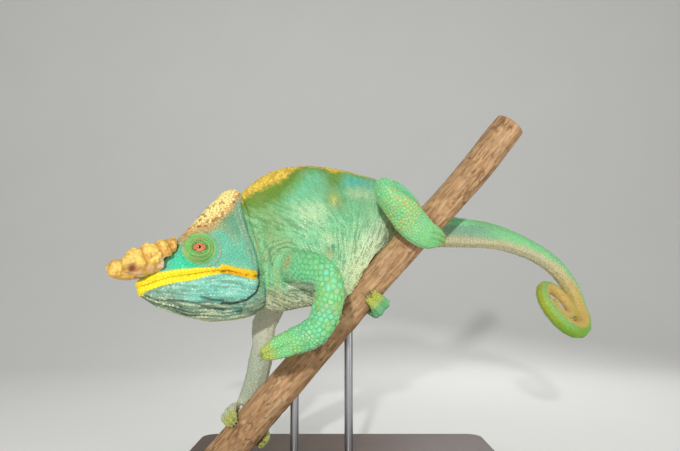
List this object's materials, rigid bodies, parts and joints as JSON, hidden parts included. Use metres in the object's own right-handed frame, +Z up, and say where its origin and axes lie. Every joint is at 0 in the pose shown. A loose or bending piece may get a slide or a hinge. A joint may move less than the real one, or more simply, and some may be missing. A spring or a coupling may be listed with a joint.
{
  "type": "parson's chameleon on a perch, still life-size model",
  "caption": "Still life-size model of an adult male Parson's chameleon gripping a cut branch, with curled tail, warty snout horns and a plain display stand.",
  "frame": {"origin": "middle of the underside of the stand's base", "axes": "+Z up, +X from the head end of the base to the tail end, +Y away from the animal's left side"},
  "size_m": [0.4355, 0.1962, 0.336],
  "materials": {
    "skin": "scaly skin, satin",
    "toes": "scaly skin, satin",
    "horn": "warty horn skin, satin",
    "eye": "wet, clear gloss",
    "bark": "dry bark, matt",
    "stand_wood": "oiled, satin",
    "stand_steel": "brushed"
  },
  "bodies": {
    "root": {"head": "skin", "lower_jaw": "skin", "eye_turret_left": "skin", "eye_turret_right": "skin", "neck": "skin", "trunk": "skin", "hips": "skin", "tail_base": "skin", "tail_middle": "skin", "tail_curl_outer": "skin", "tail_curl_inner": "skin", "upper_arm_left": "skin", "forearm_left": "skin", "hand_left": "skin", "upper_arm_right": "skin", "forearm_right": "skin", "hand_right": "skin", "thigh_left": "skin", "shank_left": "skin", "foot_left": "skin", "thigh_right": "skin", "shank_right": "skin", "foot_right": "skin", "toes_front_left_outer": "toes", "toes_front_left_inner": "toes", "toes_front_right_outer": "toes", "toes_front_right_inner": "toes", "toes_hind_left_outer": "toes", "toes_hind_left_inner": "toes", "toes_hind_right_outer": "toes", "toes_hind_right_inner": "toes", "horn_left": "horn", "horn_right": "horn", "eyeball_left": "eye", "eyeball_right": "eye", "perch_branch": "bark", "stand_base": "stand_wood", "stand_rod_1": "stand_steel", "stand_rod_2": "stand_steel", "stand_collar_1": "stand_steel", "stand_collar_2": "stand_steel"}
  },
  "joints": []
}
